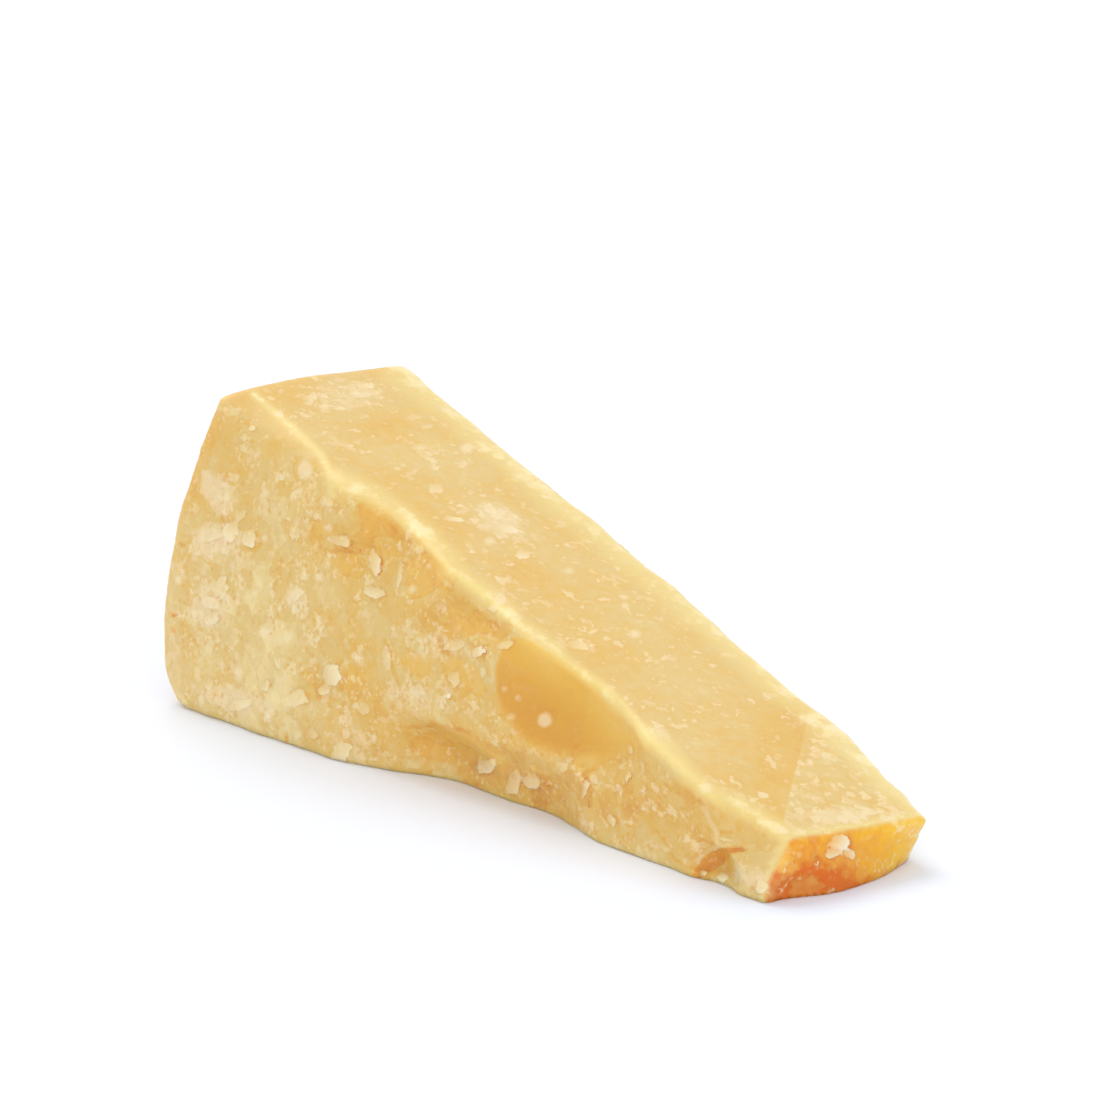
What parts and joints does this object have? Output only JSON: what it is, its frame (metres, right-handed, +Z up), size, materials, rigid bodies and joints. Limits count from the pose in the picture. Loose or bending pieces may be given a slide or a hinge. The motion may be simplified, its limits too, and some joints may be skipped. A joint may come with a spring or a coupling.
{
  "type": "parmesan wedge",
  "caption": "Wedge of hard aged cheese lying on a cut face: smooth cut faces, flaked craggy breaks, rounded rind at the thick end and a broken point.",
  "frame": {"origin": "on the surface the wedge lies on, under the middle of its box", "axes": "+X from the rind to the broken point, +Y across the wheel's thickness from the craggy front to the back, +Z up"},
  "size_m": [0.1794, 0.0582, 0.0673],
  "materials": {
    "cheese_paste": "hard aged cheese: straw-yellow waxy paste with pale flakes and white crystal spots, darker gold in the hollows, and a dry tan rind on the thick end"
  },
  "bodies": {
    "root": {"cheese_wedge": "cheese_paste"}
  },
  "joints": []
}
